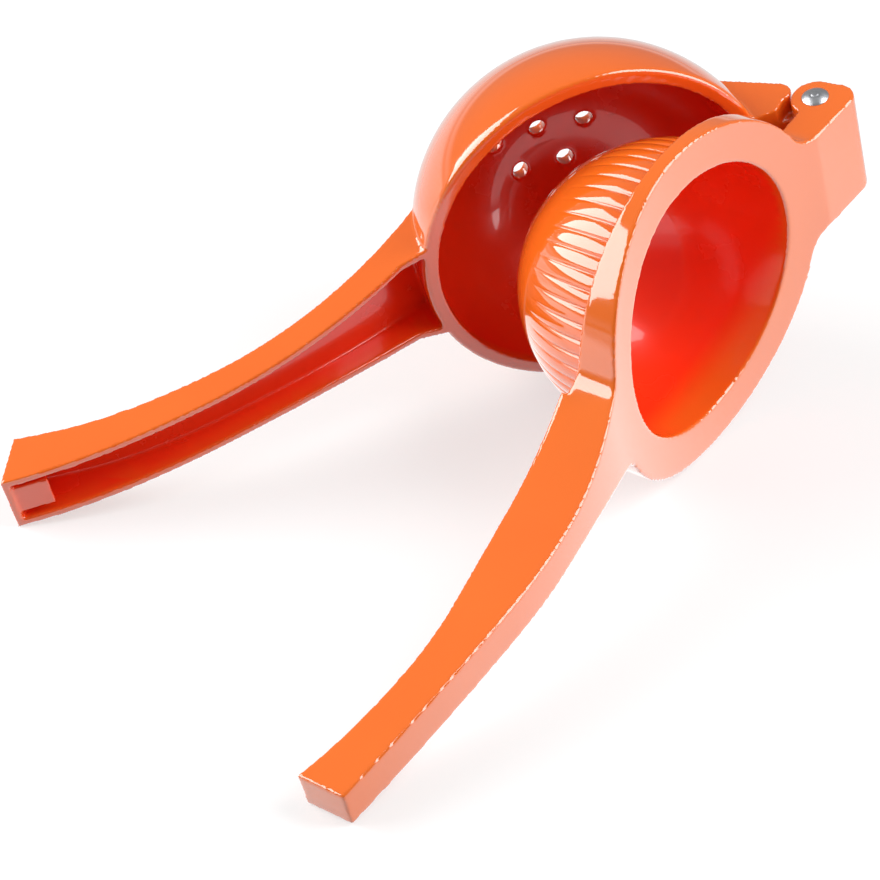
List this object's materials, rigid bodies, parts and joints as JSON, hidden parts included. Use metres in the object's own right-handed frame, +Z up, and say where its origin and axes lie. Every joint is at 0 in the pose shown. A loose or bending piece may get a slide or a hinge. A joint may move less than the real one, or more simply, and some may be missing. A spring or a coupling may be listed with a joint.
{
  "type": "hinged citrus squeezer",
  "caption": "Hand citrus squeezer: a perforated bowl arm with a channel handle and a ribbed dome press arm, joined by a riveted hinge, lying open on its side.",
  "frame": {"origin": "on the surface that the squeezer lies on, under the middle of its box", "axes": "+Z up; +X along the open tool from the hinge towards the handle tips; +Y on the press arm's side"},
  "size_m": [0.2211, 0.1494, 0.0924],
  "materials": {
    "bowl_enamel": "glossy orange enamel over cast aluminium",
    "press_enamel": "glossy orange enamel over cast aluminium",
    "rivet_steel": "plain steel with a fine turned grain"
  },
  "bodies": {
    "bowl": {"bowl_arm": "bowl_enamel"},
    "press": {"press_arm": "press_enamel", "hinge_pin": "rivet_steel"}
  },
  "joints": [
    {"name": "squeeze_hinge", "type": "hinge", "parent": "bowl", "child": "press", "pos_m": [-0.09901, -0.00821, 0.05988], "axis": [0.2501, 0.0239, 0.9679], "range_deg": [-32.2, 90]}
  ]
}
